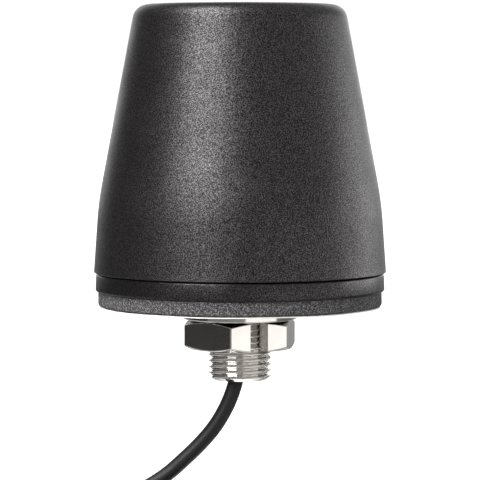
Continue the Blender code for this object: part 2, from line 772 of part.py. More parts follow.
def build_plug():
    frame = bpy.data.objects.new("plug_axis", None)
    PARTS.objects.link(frame)
    frame.location = Vector(PLUG_START) * MM
    frame.rotation_mode = "QUATERNION"
    frame.rotation_quaternion = Vector(PLUG_DIRECTION).to_track_quat("Z", "Y")

    boot = [(0.0, 24.0), (3.0, 24.0), (3.0, 22.3), (3.6, 22.3), (3.6, 20.9), (3.0, 20.9), (3.0, 19.0)]
    boot += [(4.75, 19.0), (4.75, 12.6)]
    for ring in range(4):
        z = 11.6 - 2.6 * ring
        radius = 4.55 - 0.32 * ring
        boot += [(radius - 0.55, z + 0.5), (radius - 0.6, z - 0.4), (radius - 0.1, z - 0.9)]
    boot += [(2.9, 0.0), (0.0, 0.0)]
    body = turned_part("plug_body", boot, OVERMOULD, 20, closed=False)

    ring_outline = [
        (3.9, 32.0), (4.0, 31.6), (4.0, 26.5), (5.0, 26.2), (5.0, 19.6), (4.7, 19.3),
        (3.4, 19.3), (3.4, 20.5), (3.95, 20.6), (3.95, 22.6), (3.45, 22.9), (3.45, 32.0),
    ]
    ring = turned_part("plug_ring", ring_outline, NICKEL, 24)

    insert_outline = [(0.0, 28.0), (3.05, 28.0), (3.05, 24.3), (0.0, 24.3)]
    insert = turned_part("plug_insert", insert_outline, OVERMOULD, 20, closed=False)
    pieces = [body, ring, insert]
    for number in range(4):
        at = polar(1.5, 45 + 90 * number)
        pin = add_part(f"plug_pin_{number + 1}", rod_mesh("pin", 0.45, 25.6, 31.4, at, 8), GOLD)
        hole = add_tool(f"pin_hole_{number}", rod_mesh("hole", 0.72, 25.2, 29.0, at, 8))
        hole.parent = frame
        cut(insert, hole)
        pieces.append(pin)
    for piece in pieces:
        piece.parent = frame


build_radome()
build_base()
build_seals()
build_foam_pad()
build_housing_screws()
build_stud()
build_washer()
build_nut()
build_clamp_and_standoffs()
build_receiver_board()
build_antenna()
build_inner_leads()
build_cable()
build_coil_tie()
build_plug()
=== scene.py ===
import json
import math

import bmesh
import bpy
from mathutils import Matrix, Vector, geometry, noise

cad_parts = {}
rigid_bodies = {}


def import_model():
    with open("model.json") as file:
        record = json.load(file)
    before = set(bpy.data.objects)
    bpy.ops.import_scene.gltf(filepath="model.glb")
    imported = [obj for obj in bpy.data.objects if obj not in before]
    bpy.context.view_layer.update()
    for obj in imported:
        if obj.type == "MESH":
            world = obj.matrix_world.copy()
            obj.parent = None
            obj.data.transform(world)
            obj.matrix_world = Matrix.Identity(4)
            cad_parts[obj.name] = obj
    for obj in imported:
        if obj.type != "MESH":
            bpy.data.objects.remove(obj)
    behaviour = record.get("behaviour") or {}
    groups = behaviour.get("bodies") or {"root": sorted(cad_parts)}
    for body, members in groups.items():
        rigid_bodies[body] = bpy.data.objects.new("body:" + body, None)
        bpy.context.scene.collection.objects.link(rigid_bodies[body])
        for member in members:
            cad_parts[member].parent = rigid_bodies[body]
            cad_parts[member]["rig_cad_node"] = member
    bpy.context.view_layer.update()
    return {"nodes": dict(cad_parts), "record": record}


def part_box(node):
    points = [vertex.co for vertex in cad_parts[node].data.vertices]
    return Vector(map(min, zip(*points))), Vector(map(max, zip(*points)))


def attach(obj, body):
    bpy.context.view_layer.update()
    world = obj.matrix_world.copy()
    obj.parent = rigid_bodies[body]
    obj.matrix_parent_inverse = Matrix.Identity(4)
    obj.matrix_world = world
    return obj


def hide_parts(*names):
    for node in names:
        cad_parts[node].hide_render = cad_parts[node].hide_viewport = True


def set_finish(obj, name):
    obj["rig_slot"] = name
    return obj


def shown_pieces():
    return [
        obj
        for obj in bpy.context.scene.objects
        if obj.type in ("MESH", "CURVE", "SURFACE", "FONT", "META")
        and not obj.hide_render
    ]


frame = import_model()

MM = 0.001
TURN = 2 * math.pi


def span(node):
    """The low and the high corner of a CAD solid's box, in millimetres."""
    low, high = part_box(node)
    return low / MM, high / MM


def new_object(name, data):
    made = bpy.data.objects.new(name, data)
    bpy.context.scene.collection.objects.link(made)
    return made


# Camera ----------------------------------------------------------------------------------

CAMERA_PLACE = (0.0, -680.0, 57.8)
CAMERA_AIM = (0.0, 0.0, 16.3)
CAMERA_LENS = 203.0
CAMERA_SENSOR = 36.0


def make_camera():
    data = bpy.data.cameras.new("camera")
    data.lens = CAMERA_LENS
    data.sensor_width = CAMERA_SENSOR
    camera = new_object("camera", data)
    place = Vector(CAMERA_PLACE) * MM
    camera.location = place
    camera.rotation_mode = "QUATERNION"
    camera.rotation_quaternion = (Vector(CAMERA_AIM) * MM - place).to_track_quat("-Z", "Y")
    bpy.context.scene.camera = camera


make_camera()


# Cable -----------------------------------------------------------------------------------

CABLE_RADIUS = 1.9
CABLE_STEP = 1.6             # spacing of the points along the finished cable
JACKET_TOP = 11.2            # the jacket is stripped above this height, inside the housing
STUD_END = -18.85
COIL_CENTRE = (-18.5, -28.5)
COIL_OUTER = 27.4            # radius of the outermost turn's centreline
COIL_TURNS_A_LAYER = 2.4
COIL_LAYERS = 4
COIL_TURNS = COIL_TURNS_A_LAYER * COIL_LAYERS
COIL_STEPS = 24              # points of the route in each turn
COIL_TOP = -48.5             # height of the top layer's centreline
COIL_START_DEG = 132.0
LAYER_STEP_TURNS = 0.12      # half the stretch over which the cable steps down a layer
SURFACE_Z = -63.0            # the surface that the stored cable lies on

# From the housing, through the stud's bore and down to the coil.
CABLE_ROUTE = [
    (0.0, 0.0, JACKET_TOP),
    (0.0, 0.0, 2.0),
    (0.0, 0.0, -7.0),
    (-0.25, 0.0, -13.5),
    (-1.0, 0.0, -19.0),
    (-2.2, 0.0, -23.0),
    (-4.0, 0.0, -27.0),
    (-6.6, 0.0, -31.2),
    (-10.0, 0.0, -35.2),
    (-14.2, 0.0, -39.3),
    (-18.7, -0.1, -43.2),
    (-24.6, -1.2, -46.7),
    (-30.3, -3.3, -48.3),
]
# From the coil's last turn to the plug.
TAIL_ROUTE = [
    (11.6, -18.8, -59.0),
    (12.4, -15.0, -58.2),
    (13.24, -11.0, -57.95),
]
PLUG_START = (13.3, -10.7, -57.95)
PLUG_DIRECTION = (0.208, 0.978, 0.0)


def smooth(t):
    """Eases from 0 to 1 as t runs from 0 to 1, and is level outside that."""
    t = min(1.0, max(0.0, t))
    return t * t * (3 - 2 * t)


def coil_section(turn):
    """Radius and height of the stored cable, some turns along. Its layers wind inwards and
    outwards in turn, one below the other."""
    pitch = 2 * CABLE_RADIUS
    inner = COIL_OUTER - pitch * COIL_TURNS_A_LAYER
    layer = min(COIL_LAYERS - 1, int(turn / COIL_TURNS_A_LAYER))
    within = turn - layer * COIL_TURNS_A_LAYER
    radius = COIL_OUTER - pitch * within if layer % 2 == 0 else inner + pitch * within
    drop = 0.0
    for change in range(1, COIL_LAYERS):
        start = change * COIL_TURNS_A_LAYER - LAYER_STEP_TURNS
        drop += smooth((turn - start) / (2 * LAYER_STEP_TURNS))
    return radius, COIL_TOP - pitch * drop


def coil_points():
    """The route's points round the coil, from its first turn to its last."""
    points = []
    for step in range(round(COIL_TURNS * COIL_STEPS) + 1):
        turn = step / COIL_STEPS
        radius, height = coil_section(turn)
        angle = math.radians(COIL_START_DEG) + TURN * turn
        points.append((
            COIL_CENTRE[0] + radius * math.cos(angle),
            COIL_CENTRE[1] + radius * math.sin(angle),
            height,
        ))
    return points


def evenly(points, spacing):
    """Evenly spaced places along a line of points, and the line's length."""
    lengths = [0.0]
    for a, b in zip(points, points[1:]):
        lengths.append(lengths[-1] + (b - a).length)
    count = max(2, round(lengths[-1] / spacing))
    path = []
    place = 0
    for i in range(count + 1):
        want = lengths[-1] * i / count
        while place < len(points) - 2 and lengths[place + 1] < want:
            place += 1
        step = max(lengths[place + 1] - lengths[place], 1e-9)
        share = min(1.0, (want - lengths[place]) / step)
        path.append(points[place].lerp(points[place + 1], share))
    return path, lengths[-1]


def smooth_path(route, spacing):
    """Evenly spaced points on a smooth curve through the route's own points, and its length."""
    points = [Vector(p) for p in route]
    ends = [2 * points[0] - points[1], *points, 2 * points[-1] - points[-2]]
    parts = 12
    fine = []
    for a, b, c, d in zip(ends, ends[1:], ends[2:], ends[3:]):
        # Centripetal knots keep the curve even where the points are unevenly spaced.
        t1 = max((b - a).length, 1e-6) ** 0.5
        t2 = t1 + max((c - b).length, 1e-6) ** 0.5
        t3 = t2 + max((d - c).length, 1e-6) ** 0.5
        for i in range(parts):
            t = t1 + (t2 - t1) * i / parts
            ab = a.lerp(b, t / t1)
            bc = b.lerp(c, (t - t1) / (t2 - t1))
            cd = c.lerp(d, (t - t2) / (t3 - t2))
            abc = ab.lerp(bc, t / t2)
            bcd = bc.lerp(cd, (t - t1) / (t3 - t1))
            fine.append(abc.lerp(bcd, (t - t1) / (t2 - t1)))
    fine.append(points[-1])
    return evenly(fine, spacing)


def make_cable():
    """The whole cable as one curve, and its length in metres."""
    route = CABLE_ROUTE + coil_points() + TAIL_ROUTE
    path, length = smooth_path(route, CABLE_STEP)
    curve = bpy.data.curves.new("data_cable", "CURVE")
    curve.dimensions = "3D"
    spline = curve.splines.new("POLY")
    spline.points.add(len(path) - 1)
    for point, place in zip(spline.points, path):
        point.co = (*(place * MM), 1.0)
        point.radius = CABLE_RADIUS * MM
    curve.bevel_depth = 1.0      # times the radius of each point
    curve.bevel_resolution = 6
    curve.use_fill_caps = True
    cable = new_object("data_cable", curve)
    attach(cable, "root")
    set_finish(cable, "cable_jacket")
    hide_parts("cable", "cable_tail", "cable_coil")
    return cable, length * MM


cable, cable_length = make_cable()


# Mesh tools ------------------------------------------------------------------------------

ON_AXIS = 1e-6               # a point nearer to the axis than this is a single point on it


def add_piece(name, mesh, body, slot, *stands_for, sharp_deg=32.0):
    """Adds a mesh that rides on a body and stands for the CAD nodes named."""
    mesh.shade_smooth()
    mesh.set_sharp_from_angle(angle=math.radians(sharp_deg))
    piece = new_object(name, mesh)
    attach(piece, body)
    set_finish(piece, slot)
    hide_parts(*stands_for)


def mesh_from(bm, name):
    mesh = bpy.data.meshes.new(name)
    bm.to_mesh(mesh)
    bm.free()
    return mesh


def join_rows(bm, rows):
    """Faces between closed rows of points, one after the other, and a cap on each end."""
    count = len(rows[0])
    for a, b in zip(rows, rows[1:]):
        for i in range(count):
            j = (i + 1) % count
            bm.faces.new((a[i], a[j], b[j], b[i]))
    bm.faces.new(rows[0][::-1])
    bm.faces.new(rows[-1])


def even_angles(steps):
    return [TURN * step / steps for step in range(steps)]


def revolve(name, outline, angles, shape=None):
    """A closed body turned about Z, from (radius, height) points listed down its outer side.
    shape moves a point, given as its angle, radius and height."""
    bm = bmesh.new()
    rings = []
    for radius, height in outline:
        if radius < ON_AXIS:
            rings.append([bm.verts.new((0.0, 0.0, height * MM))])
            continue
        ring = []
        for angle in angles:
            r, z = shape(angle, radius, height) if shape else (radius, height)
            where = (r * math.cos(angle) * MM, r * math.sin(angle) * MM, z * MM)
            ring.append(bm.verts.new(where))
        rings.append(ring)
    if outline[0][0] > ON_AXIS:
        rings.append(rings[0])
    for upper, lower in zip(rings, rings[1:]):
        for i in range(len(angles)):
            j = (i + 1) % len(angles)
            if len(upper) == 1:
                bm.faces.new((upper[0], lower[i], lower[j]))
            elif len(lower) == 1:
                bm.faces.new((upper[i], lower[0], upper[j]))
            else:
                bm.faces.new((upper[i], lower[i], lower[j], upper[j]))
    return mesh_from(bm, name)


def arc(centre, radius, start_deg, end_deg, count):
    """Points along an arc between two angles, with both ends."""
    points = []
    for i in range(count + 1):
        a = math.radians(start_deg + (end_deg - start_deg) * i / count)
        points.append((centre[0] + radius * math.cos(a), centre[1] + radius * math.sin(a)))
    return points


def polar(radius, degrees):
    """The place in plan at a distance and a direction from the axis."""
    a = math.radians(degrees)
    return (radius * math.cos(a), radius * math.sin(a))


def rod(radius, z_low, z_high, at=(0.0, 0.0), sides=32):
    """An upright cylinder or prism."""
    bm = bmesh.new()
    place = Matrix.Translation(Vector((at[0], at[1], (z_low + z_high) / 2)) * MM)
    bmesh.ops.create_cone(
        bm,
        cap_ends=True,
        segments=sides,
        radius1=radius * MM,
        radius2=radius * MM,
        depth=(z_high - z_low) * MM,
        matrix=place,
    )
    return mesh_from(bm, "rod")


def block(low, high, turn_deg):
    """A box from corner to corner, then turned about the axis."""
    bm = bmesh.new()
    size = Vector(high) - Vector(low)
    middle = (Vector(high) + Vector(low)) / 2
    place = Matrix.Rotation(math.radians(turn_deg), 4, "Z")
    place = place @ Matrix.Translation(middle * MM) @ Matrix.Diagonal((*(size * MM), 1.0))
    bmesh.ops.create_cube(bm, size=1.0, matrix=place)
    return mesh_from(bm, "block")


def combined(mesh, steps):
    """The mesh after a list of Boolean steps, each an operation and a mesh."""
    body = new_object("body", mesh)
    tools = []
    for operation, tool_mesh in steps:
        tool = new_object("tool", tool_mesh)
        tools.append(tool)
        modifier = body.modifiers.new("step", "BOOLEAN")
        modifier.operation = operation
        modifier.object = tool
        modifier.solver = "EXACT"
    bpy.context.view_layer.update()
    depsgraph = bpy.context.evaluated_depsgraph_get()
    result = bpy.data.meshes.new_from_object(body.evaluated_get(depsgraph))
    for leftover in [body, *tools]:
        bpy.data.objects.remove(leftover)
    return result


# Radome, base ring and foam pad ----------------------------------------------------------

RADOME_RADIUS = 36.75
SKIRT_DEG = 4.0
CONE_DEG = 10.6
WAIST_Z = 26.0               # height at which skirt and cone would meet
WAIST_ROUND = 87.0
TOP_CORNER = 4.0
TOP_DOME = 0.3
TOP_HEIGHT = span("radome_cap")[1].z - TOP_DOME
DOME_RINGS = 7
CONE_RINGS = 24
SKIRT_RINGS = 7
WALL = 2.6
LIP_Z = 8.3                  # the radome's lower edge, where the seam is
LIP_INNER = 34.15
LIP_ROUND = 0.25
SPIGOT_TOP = 14.0            # the base reaches this high inside the radome
BOSS_CIRCLE = 27.6
BOSS_RADIUS = 2.9
BOSS_TOP = 24.0
RIB_HALF_WIDTH = 1.2
SCREW_HOLE = 1.75            # radius of the housing screws' holes
SCREW_HOLE_TOP = 18.0
FLOOR_TOP = 6.6              # the base's floor, inside


def skirt_radius(z):
    """Outer radius of the radome's skirt at a height."""
    return RADOME_RADIUS - (z - LIP_Z) * math.tan(math.radians(SKIRT_DEG))


def wall_profile(inset):
    """The rounded waist and the rounded top edge, inset from the outside of the wall."""
    cone = math.radians(CONE_DEG)
    middle = math.radians((CONE_DEG + SKIRT_DEG) / 2)
    reach = WAIST_ROUND / math.cos(cone - middle)
    waist = (
        skirt_radius(WAIST_Z) - reach * math.cos(middle),
        WAIST_Z - reach * math.sin(middle),
    )
    corner_z = TOP_HEIGHT - TOP_CORNER
    cone_radius = skirt_radius(WAIST_Z) - (corner_z - WAIST_Z) * math.tan(cone)
    corner = (cone_radius - TOP_CORNER / math.cos(cone), corner_z)
    return (
        arc(waist, WAIST_ROUND - inset, SKIRT_DEG, CONE_DEG, 8),
        arc(corner, TOP_CORNER - inset, CONE_DEG, 90, 14),
    )


def make_radome():
    """A cover with a domed top, a cone and a steeper skirt, and four screw bosses inside."""
    waist, corner = wall_profile(0.0)
    inner_waist, inner_corner = wall_profile(WALL)
    full_wall_z = SPIGOT_TOP + 2.0
    dome = []
    for i in range(DOME_RINGS):
        r = corner[-1][0] * i / DOME_RINGS
        dome.append((r, TOP_HEIGHT + TOP_DOME * (1 - (i / DOME_RINGS) ** 2)))
    cone = []
    for i in range(1, CONE_RINGS):
        t = i / CONE_RINGS
        cone.append((
            corner[0][0] + (waist[-1][0] - corner[0][0]) * t,
            corner[0][1] + (waist[-1][1] - corner[0][1]) * t,
        ))
    skirt = []
    for i in range(1, SKIRT_RINGS + 1):
        z = waist[0][1] + (LIP_Z + LIP_ROUND - waist[0][1]) * i / SKIRT_RINGS
        skirt.append((skirt_radius(z), z))
    outline = [
        *dome,
        *corner[::-1],
        *cone,
        *waist[::-1],
        *skirt,
        *arc((RADOME_RADIUS - LIP_ROUND, LIP_Z + LIP_ROUND), LIP_ROUND, -15, -90, 4),
        (LIP_INNER, LIP_Z),
        (LIP_INNER, SPIGOT_TOP),
        (skirt_radius(full_wall_z) - WALL, full_wall_z),
        *inner_waist,
        *inner_corner,
        (0.0, TOP_HEIGHT - WALL),
    ]
    shell = revolve("radome", outline, even_angles(192))
    steps = []
    for number in range(4):
        degrees = 45 + 90 * number
        at = polar(BOSS_CIRCLE, degrees)
        steps.append(("UNION", rod(BOSS_RADIUS, FLOOR_TOP + 0.3, BOSS_TOP, at)))
        rib_low = (BOSS_CIRCLE, -RIB_HALF_WIDTH, SPIGOT_TOP + 1.0)
        rib_high = (LIP_INNER + 0.25, RIB_HALF_WIDTH, BOSS_TOP - 1.0)
        steps.append(("UNION", block(rib_low, rib_high, degrees)))
        steps.append(("DIFFERENCE", rod(SCREW_HOLE, FLOOR_TOP - 1, SCREW_HOLE_TOP, at)))
    mesh = combined(shell, steps)
    add_piece("radome", mesh, "root", "radome_black", "radome_cap")


BASE_RADIUS = span("base_housing")[1].x
BASE_BOTTOM = span("base_housing")[0].z
BASE_TOP = 8.12
BASE_BORE = 8.3
SPIGOT_INNER = 31.7
SPIGOT_OUTER = 33.75
GROOVE_RADIUS = 32.35        # bottom of the radome seal's groove
GROOVE_LOW = 9.6
GROOVE_HIGH = 11.6
POCKET_HALF_FLATS = 12.3     # the hexagonal pocket that the stud's flange sits in
COLLAR = [(17.0, 10.4), (17.0, 5.8), (11.0, 5.8), (11.0, 10.4)]   # the wall round the pocket
STANDOFF_CIRCLE = 20.5


def make_base():
    """The base: a round rim, a spigot with a seal groove, and a pocket for the stud's flange."""
    edge = 0.55
    low_edge = 0.5
    rim = BASE_RADIUS - 0.15
    outline = [
        (rim - edge - 1.0, BASE_TOP),
        *arc((rim - edge, BASE_TOP - edge), edge, 90, 0, 5),
        (BASE_RADIUS, BASE_BOTTOM + 0.6),
        *arc((BASE_RADIUS - low_edge, BASE_BOTTOM + low_edge), low_edge, -10, -90, 4),
        (BASE_BORE, BASE_BOTTOM),
        (BASE_BORE, FLOOR_TOP),
        (SPIGOT_INNER, FLOOR_TOP),
        (SPIGOT_INNER, SPIGOT_TOP),
        (SPIGOT_OUTER, SPIGOT_TOP),
        (SPIGOT_OUTER, GROOVE_HIGH),
        (GROOVE_RADIUS, GROOVE_HIGH),
        (GROOVE_RADIUS, GROOVE_LOW),
        (SPIGOT_OUTER, GROOVE_LOW),
        (SPIGOT_OUTER, BASE_TOP),
    ]
    body = revolve("base", outline, even_angles(192))
    pocket_radius = POCKET_HALF_FLATS / math.cos(math.pi / 6)
    steps = [
        ("UNION", revolve("wall", COLLAR, even_angles(64))),
        ("DIFFERENCE", rod(pocket_radius, FLOOR_TOP, 11.0, sides=6)),
    ]
    for number in range(3):
        at = polar(STANDOFF_CIRCLE, 90 + 120 * number)
        steps.append(("UNION", rod(3.0, FLOOR_TOP - 1, 10.9, at)))
        steps.append(("DIFFERENCE", rod(1.5, 7.2, 12.0, at)))
    # Each housing screw has a clearance hole and a wider pocket for its head.
    for number in range(4):
        at = polar(BOSS_CIRCLE, 45 + 90 * number)
        steps.append(("DIFFERENCE", rod(SCREW_HOLE, 3.0, 7.0, at)))
        steps.append(("DIFFERENCE", rod(3.1, 3.0, 5.6, at)))
    mesh = combined(body, steps)
    add_piece("base_ring", mesh, "root", "base_black", "base_housing")


PAD_RADIUS = span("foam_pad")[1].x
PAD_TOP = span("foam_pad")[1].z + 0.2    # the foam swells to just under the housing
PAD_BORE = 15.0
PAD_ROUND = 0.5


def make_foam():
    """Cut foam: each cell at the surface stands a little in or out."""
    rows = [(PAD_RADIUS - 0.6 * i, PAD_TOP) for i in range(6, 0, -1)]
    rows += [(PAD_RADIUS, PAD_TOP + (PAD_ROUND - PAD_TOP) * i / 12) for i in range(12)]
    rows += arc((PAD_RADIUS - PAD_ROUND, PAD_ROUND), PAD_ROUND, 0, -90, 5)
    rows += [(PAD_RADIUS - PAD_ROUND - 0.9 * i, 0.0) for i in range(1, 22)]
    rows += [(PAD_BORE, 0.0), (PAD_BORE, 1.1), (PAD_BORE, 2.2), (PAD_BORE, PAD_TOP)]

    def cells(angle, radius, height):
        if height > PAD_TOP - 0.01 or height < 0.01:
            return radius, height
        where = Vector((radius * math.cos(angle), radius * math.sin(angle), height))
        coarse = noise.noise(where * 2.6)
        fine = noise.noise(where * 6.0 + Vector((9.0, 0.0, 0.0)))
        depth = 0.10 * coarse + 0.07 * fine
        return radius + depth - 0.06, height

    mesh = revolve("foam", rows, even_angles(640), cells)
    add_piece("foam_ring", mesh, "root", "foam_grey", "foam_pad", sharp_deg=60)


def make_film():
    """The release film under the pad, a little wavy towards its edge."""
    low, high = span("pad_liner")
    outer = high.x
    edge = 0.1
    outline = [
        (outer - edge, high.z),
        (outer, high.z - 0.08),
        (outer, low.z + 0.08),
        (outer - edge, low.z),
        *[(outer - edge - 1.3 * i, low.z) for i in range(1, 15)],
        (PAD_BORE, low.z),
        (PAD_BORE, high.z),
        *[(PAD_BORE + 1.35 * i, high.z) for i in range(1, 15)],
    ]

    def wavy(angle, radius, height):
        lift = smooth((radius - 28) / 8) * 0.07 * math.sin(5 * angle + 1.3) * math.sin(3 * angle)
        return radius, height + lift

    mesh = revolve("film", outline, even_angles(192), wavy)
    add_piece("release_film", mesh, "root", "liner_white", "pad_liner")


# Stud, washer and nut --------------------------------------------------------------------

PITCH = 1.5
CREST = 7.95                 # radii of the stud's thread
ROOT = 7.08
CREST_HALF = 0.094           # half the width of a crest
CREST_EASE = 0.2             # how far the crest's and the root's corners are rounded
ROOT_EASE = 0.3
FLANK = math.tan(math.radians(30.0))
THREAD_PHASE_Z = -1.2        # a crest crosses angle 0 at this height
THREAD_TOP = 1.0
THREAD_ROWS = 260
THREAD_RUNOUT = 0.6          # the length over which it runs out into the shank
FLANGE_FLATS = 24.0
FLANGE_LOW = 7.9
SHANK = 8.0
STUD_BORE = 4.5
BORE_TOP = 8.8               # the bore widens above this height
STUD_TOP = span("mounting_stud")[1].z
TIP_RADIUS = 6.6
TIP_CHAMFER = 0.85

# Outline radii that a shape() function reads as "this row is on the flange, or the thread".
ON_FLANGE = 13.0
ON_THREAD = 7.0


def soft_max(a, b, ease):
    """The larger of the two, with the corner between them rounded."""
    return (a + b + math.sqrt((a - b) ** 2 + ease * ease)) / 2


def soft_min(a, b, ease):
    """The smaller of the two, rounded in the same way."""
    return -soft_max(-a, -b, ease)


def thread_radius(angle, z, crest, crest_half, root):
    """Radius of a right-hand thread's surface at an angle and a height."""
    turns = (z - THREAD_PHASE_Z) / PITCH - angle / TURN
    away = abs(turns - round(turns)) * PITCH
    flank = crest - (away - crest_half) / FLANK
    return soft_max(root, soft_min(crest, flank, CREST_EASE), ROOT_EASE)


def hexagon(angle, flats, corner_round=0.0):
    """Radius of a hexagon's outline, with the middle of a flat at angle 0. The corners lose
    corner_round over the last fortieth of the way to them."""
    from_flat = ((angle + TURN / 12) % (TURN / 6)) - TURN / 12
    share = abs(from_flat) / (TURN / 12)
    return flats / 2 / math.cos(from_flat) - corner_round * smooth(share * 40 - 39)


def make_stud():
    """A hexagonal flange, a plain shank and a thread that runs out into it."""
    chamfer = 0.3
    mouth = 0.4
    height = THREAD_TOP - STUD_END
    rows = [(ON_FLANGE, STUD_TOP), (ON_FLANGE, STUD_TOP - chamfer), (ON_FLANGE, FLANGE_LOW)]
    rows += [(SHANK, FLANGE_LOW), (SHANK, THREAD_TOP + 0.3)]
    for i in range(THREAD_ROWS + 1):
        rows.append((ON_THREAD, THREAD_TOP - height * i / THREAD_ROWS))
    rows += [(4.9, STUD_END), (STUD_BORE, STUD_END + mouth), (STUD_BORE, BORE_TOP)]
    rows += [(5.9, BORE_TOP), (5.9, STUD_TOP)]

    def shape(angle, radius, z):
        if radius == ON_FLANGE:
            inset = chamfer if z == STUD_TOP else 0.0
            return hexagon(angle, FLANGE_FLATS) - inset, z
        if radius != ON_THREAD:
            return radius, z
        r = thread_radius(angle, z, CREST, CREST_HALF + 0.07, ROOT)
        tip = TIP_RADIUS + (z - STUD_END) * (CREST - TIP_RADIUS) / TIP_CHAMFER
        r = soft_min(r, tip, 0.08)
        return r + (SHANK - r) * smooth((z - THREAD_TOP + THREAD_RUNOUT) / THREAD_RUNOUT), z

    mesh = revolve("stud", rows, even_angles(120), shape)
    add_piece("threaded_stud", mesh, "root", "nickel_plate", "mounting_stud", sharp_deg=50)


WASHER_BORE = 8.5


def make_washer():
    low, high = span("flat_washer")
    outer = high.x
    edge = 0.3
    bore_edge = 0.2
    bore = WASHER_BORE + bore_edge
    outline = [
        *arc((outer - edge, high.z - edge), edge, 90, 0, 4),
        (outer, low.z + edge + 0.05),
        *arc((outer - edge, low.z + edge), edge, 0, -90, 4),
        *[(outer - edge - 1.8 * i, low.z) for i in range(1, 4)],
        *arc((bore, low.z + bore_edge), bore_edge, -90, -180, 3),
        *arc((bore, high.z - bore_edge), bore_edge, 180, 90, 3),
    ]
    mesh = revolve("washer", outline, even_angles(160))
    add_piece("washer_disc", mesh, "washer", "nickel_plate", "flat_washer", sharp_deg=50)


NUT_FLATS = 26.0
NUT_SLOPE = math.tan(math.radians(26.0))   # of the chamfers that cut the corners
NUT_ROUND = 0.07             # how far the corners are rounded
NUT_FACE_INSET = 0.1         # the round faces end this far inside the flats
NUT_ROWS = 110
NUT_SLOT = 4.7
NUT_SLOT_DEG = -68.5
SAW_LINE = 0.57              # spacing of the saw's marks in the slot
SAW_DEPTH = 0.035
SAW_ROWS = 6                 # rows of points for each mark

# Outer rows of the nut, marked by radii that its shape() function reads: a ring on the
# chamfer, its edge with the flats, and two rows just past that edge that keep the flats'
# shading flat. Each has its share of the way out to the flats, and its distance past the edge.
ON_CHAMFER = 101.0
ON_EDGE = 102.0
OUTER_ROWS = {
    ON_CHAMFER: (0.88, 0.0),
    ON_EDGE: (1.0, 0.0),
    103.0: (1.0, 0.1),
    104.0: (1.0, 0.3),
}


def slot_tool(low, high):
    """A block whose long sides carry fine level ridges, as a saw leaves them."""
    bm = bmesh.new()
    half = NUT_SLOT / 2
    reach = 20.0
    rows = []
    count = round((high - low + 2.0) / SAW_LINE * SAW_ROWS)
    for i in range(count + 1):
        z = low - 1.0 + (high - low + 2.0) * i / count
        y = half + SAW_DEPTH * math.sin(TURN * z / SAW_LINE)
        corners = [(0.0, -y), (reach, -y), (reach, y), (0.0, y)]
        rows.append([bm.verts.new((x * MM, s * MM, z * MM)) for x, s in corners])
    join_rows(bm, rows)
    turn = Matrix.Rotation(math.radians(NUT_SLOT_DEG), 3, "Z")
    bmesh.ops.rotate(bm, verts=bm.verts, matrix=turn)
    return mesh_from(bm, "slot")


def make_nut():
    """A hexagonal nut, chamfered on both faces, with a thread inside and a slot to it."""
    low, high = (v.z for v in span("slotted_nut"))
    flat = NUT_FLATS / 2
    # The nut's thread stands clear of the stud's all round.
    bore = ROOT + 0.27
    crest = CREST + 0.25
    crest_half = CREST_HALF + 0.2 - FLANK * (crest - CREST)
    slot_angle = math.radians(NUT_SLOT_DEG)

    outline = [(flat - NUT_FACE_INSET, high)]
    outline += [(row, high) for row in OUTER_ROWS]
    outline += [(row, low) for row in reversed(OUTER_ROWS)]
    outline += [(flat - NUT_FACE_INSET, low), (crest + 0.8, low)]
    for i in range(NUT_ROWS + 1):
        outline.append((ON_THREAD, low + (high - low) * i / NUT_ROWS))
    outline += [(crest + 0.8, high)]

    def shape(angle, radius, z):
        if radius in OUTER_ROWS:
            share, past_edge = OUTER_ROWS[radius]
            reach = hexagon(angle - slot_angle, NUT_FLATS, NUT_ROUND)
            r = flat - NUT_FACE_INSET + (reach - flat + NUT_FACE_INSET) * share
            drop = (r - flat + NUT_FACE_INSET) * NUT_SLOPE + past_edge
            if radius == ON_EDGE:
                r -= 0.02
            return r, high - drop if z == high else low + drop
        if radius != ON_THREAD:
            return radius, z
        r = thread_radius(angle, z, crest, crest_half, bore)
        mouth = crest + 0.35 - min(z - low, high - z) * 1.1
        return max(r, mouth), z

    # Even angles, with more of them close to each corner.
    angles = set(even_angles(144))
    for corner in range(6):
        centre = (slot_angle + (corner + 0.5) * TURN / 6) % TURN
        for offset in (-0.75, -0.5, -0.25, 0.0, 0.25, 0.5, 0.75):
            angles.add((centre + math.radians(offset)) % TURN)
    ordered = []
    for angle in sorted(angles):
        if not ordered or angle - ordered[-1] > math.radians(0.2):
            ordered.append(angle)
    body = revolve("nut", outline, ordered, shape)
    mesh = combined(body, [("DIFFERENCE", slot_tool(low, high))])
    add_piece("hex_nut", mesh, "nut", "nickel_plate", "slotted_nut", sharp_deg=30)


# Coil strap and plug ----------------------------------------------------------------------

TIE_DEG = 215.0
TIE_HALF_WIDTH = 3.0
TIE_THICK = 0.5
TIE_CORNER = 0.12
TIE_GAP = 0.12               # between the strap and the turns
TIE_LAP = 9                  # millimetres of strap that lie on the strap itself
TIE_LIFT = 0.55              # how far out that stretch is


def strap_loop():
    """The outline that a tight strap takes round the turns, as (radius, height) points."""
    reach = CABLE_RADIUS + TIE_GAP
    dots = []
    turn = (TIE_DEG - COIL_START_DEG) / 360
    while turn < COIL_TURNS:
        radius, height = coil_section(turn)
        # The turns curve away from the strap's middle by the time they reach its edges.
        for across in (radius, math.sqrt(radius ** 2 - TIE_HALF_WIDTH ** 2)):
            dots += [Vector(dot) for dot in arc((across, height), reach, 0, 345, 23)]
        turn += 1
    corners = [dots[i] for i in geometry.convex_hull_2d(dots)]
    loop = evenly([*corners, corners[0]], 1.0)[0][:-1]
    highest = max(range(len(loop)), key=lambda i: loop[i].y)
    return loop[highest:] + loop[:highest]


